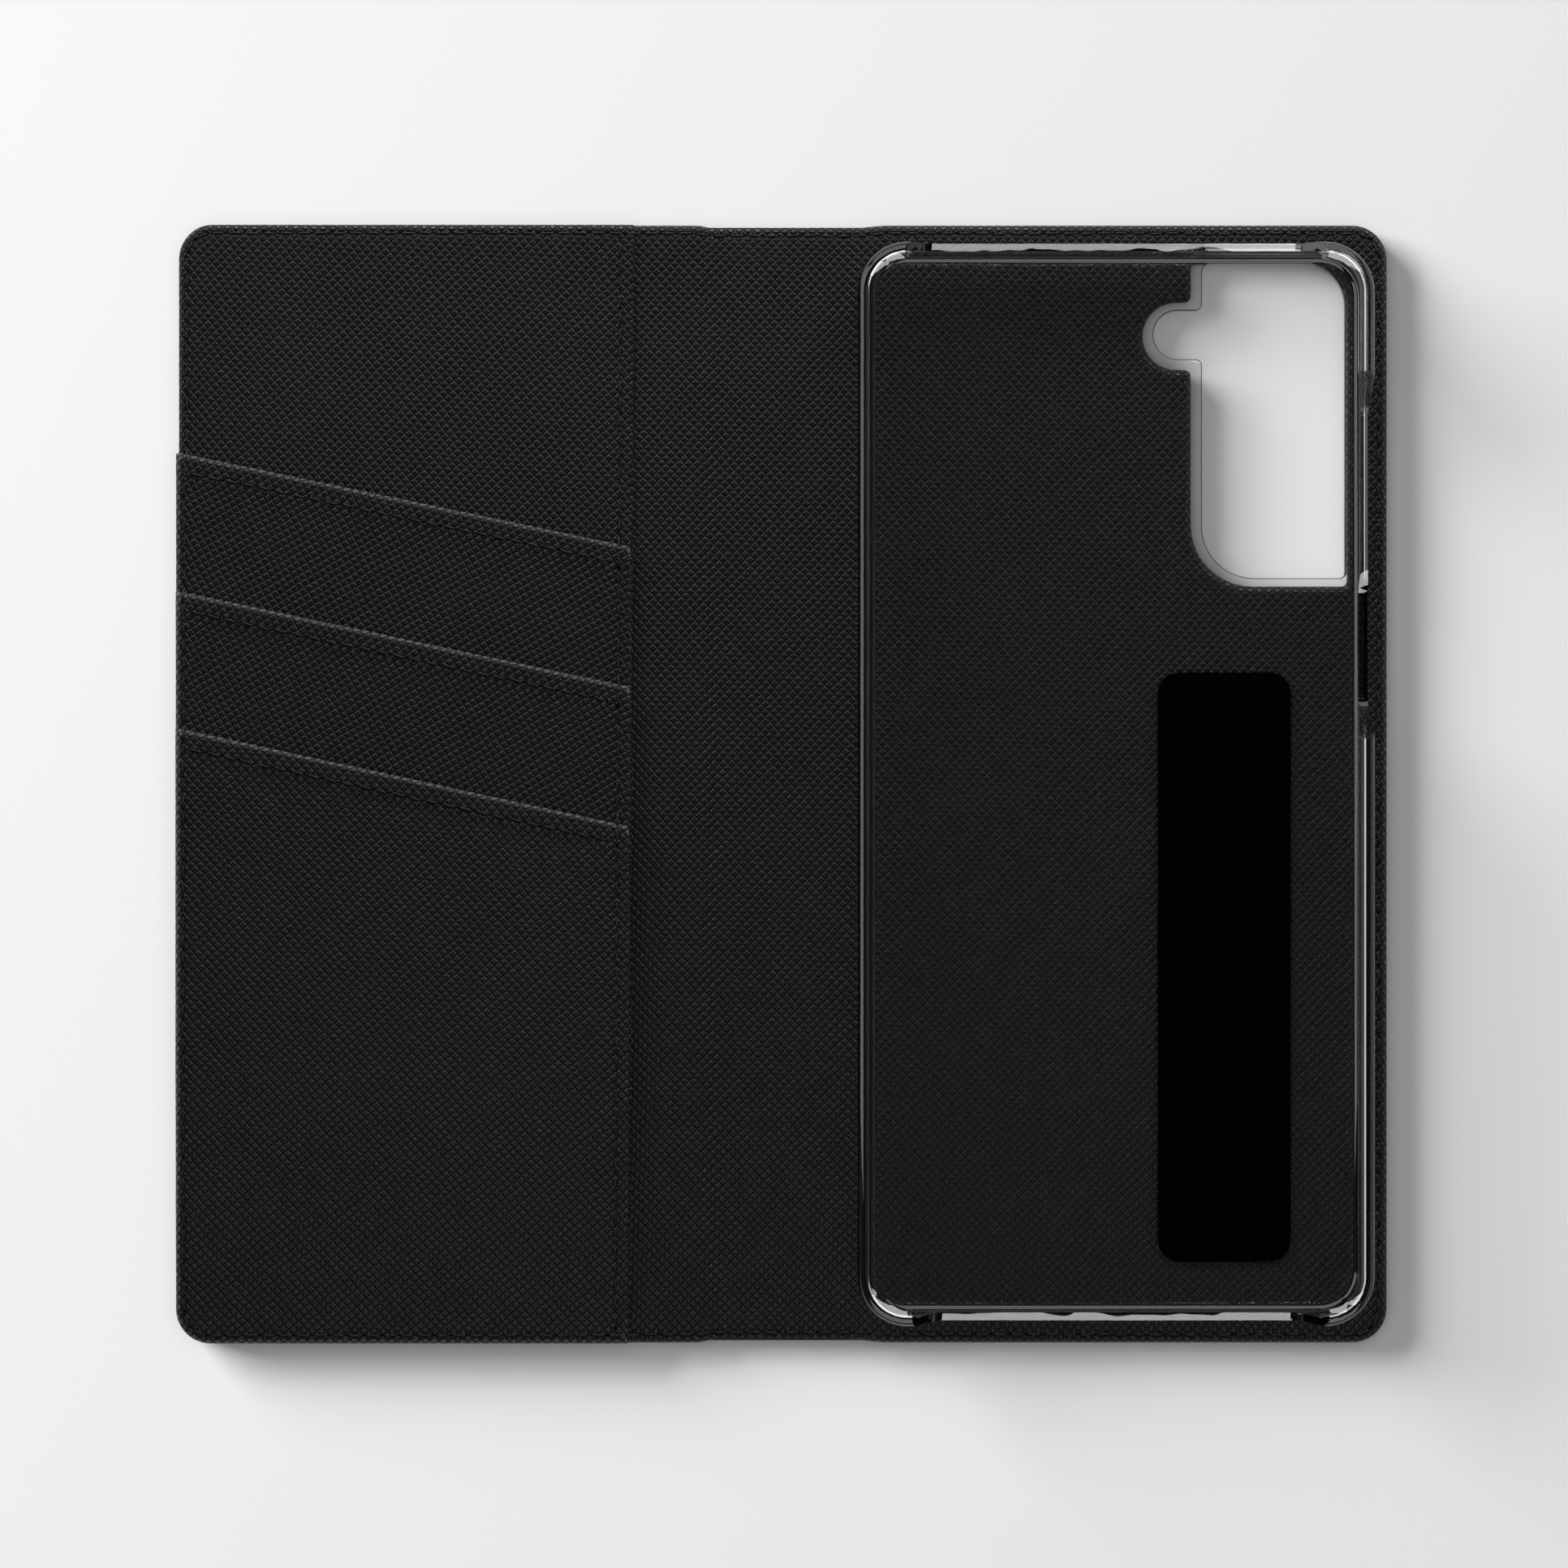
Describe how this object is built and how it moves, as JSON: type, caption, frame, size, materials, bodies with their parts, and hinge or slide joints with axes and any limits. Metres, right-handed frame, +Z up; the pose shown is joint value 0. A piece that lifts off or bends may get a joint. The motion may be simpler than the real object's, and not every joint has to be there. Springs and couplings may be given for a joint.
{
  "type": "phone wallet case",
  "caption": "Open book-style phone wallet case: grained black leather-look cover, slanted card pockets, a cash pocket and a clear snap-in phone tray with a camera window.",
  "frame": {"origin": "middle of the open case's footprint, on the surface it lies on", "axes": "+X from the front cover across the spine to the back cover, +Y to the top of the phone, +Z up from the table through the inside face; stored lying open and flat, outside down"},
  "size_m": [0.1752, 0.1618, 0.0123],
  "materials": {
    "outer_leather": "black cross-grain embossed, satin",
    "lining_leather": "black cross-grain embossed, satin",
    "pocket_leather": "black fine cross-grain, satin",
    "board": "grey stiffening board",
    "thread": "black polyester sewing thread",
    "clear_plastic": "clear polycarbonate, gloss",
    "adhesive": "flat black foam adhesive"
  },
  "bodies": {
    "back_cover": {"back_cover_skin": "outer_leather", "back_cover_board": "board", "back_cover_lining": "lining_leather", "back_cover_stitching": "thread", "tray_adhesive_pad": "adhesive", "phone_tray": "clear_plastic"},
    "spine": {"spine_skin": "outer_leather", "spine_stiffener": "board", "spine_lining": "lining_leather", "spine_stitching": "thread", "back_fold_skin": "outer_leather", "back_fold_lining": "lining_leather", "front_fold_skin": "outer_leather", "front_fold_lining": "lining_leather"},
    "front_cover": {"front_cover_skin": "outer_leather", "front_cover_board": "board", "front_cover_lining": "lining_leather", "front_cover_stitching": "thread", "cash_pocket_panel": "pocket_leather", "card_pocket_top": "pocket_leather", "card_pocket_middle": "pocket_leather", "card_pocket_bottom": "pocket_leather", "top_hem_stitching": "thread", "middle_hem_stitching": "thread", "bottom_hem_stitching": "thread", "panel_edge_stitching": "thread"}
  },
  "joints": [
    {"name": "back_fold", "type": "hinge", "parent": "back_cover", "child": "spine", "pos_m": [0.0077, 0, 0.0011], "axis": [0, 1, 0], "range_deg": [-90, 90], "deforming": ["back_fold_skin", "back_fold_lining"]},
    {"name": "front_fold", "type": "hinge", "parent": "spine", "child": "front_cover", "pos_m": [-0.0077, 0, 0.0011], "axis": [0, 1, 0], "range_deg": [-90, 90], "deforming": ["front_fold_skin", "front_fold_lining"]}
  ]
}
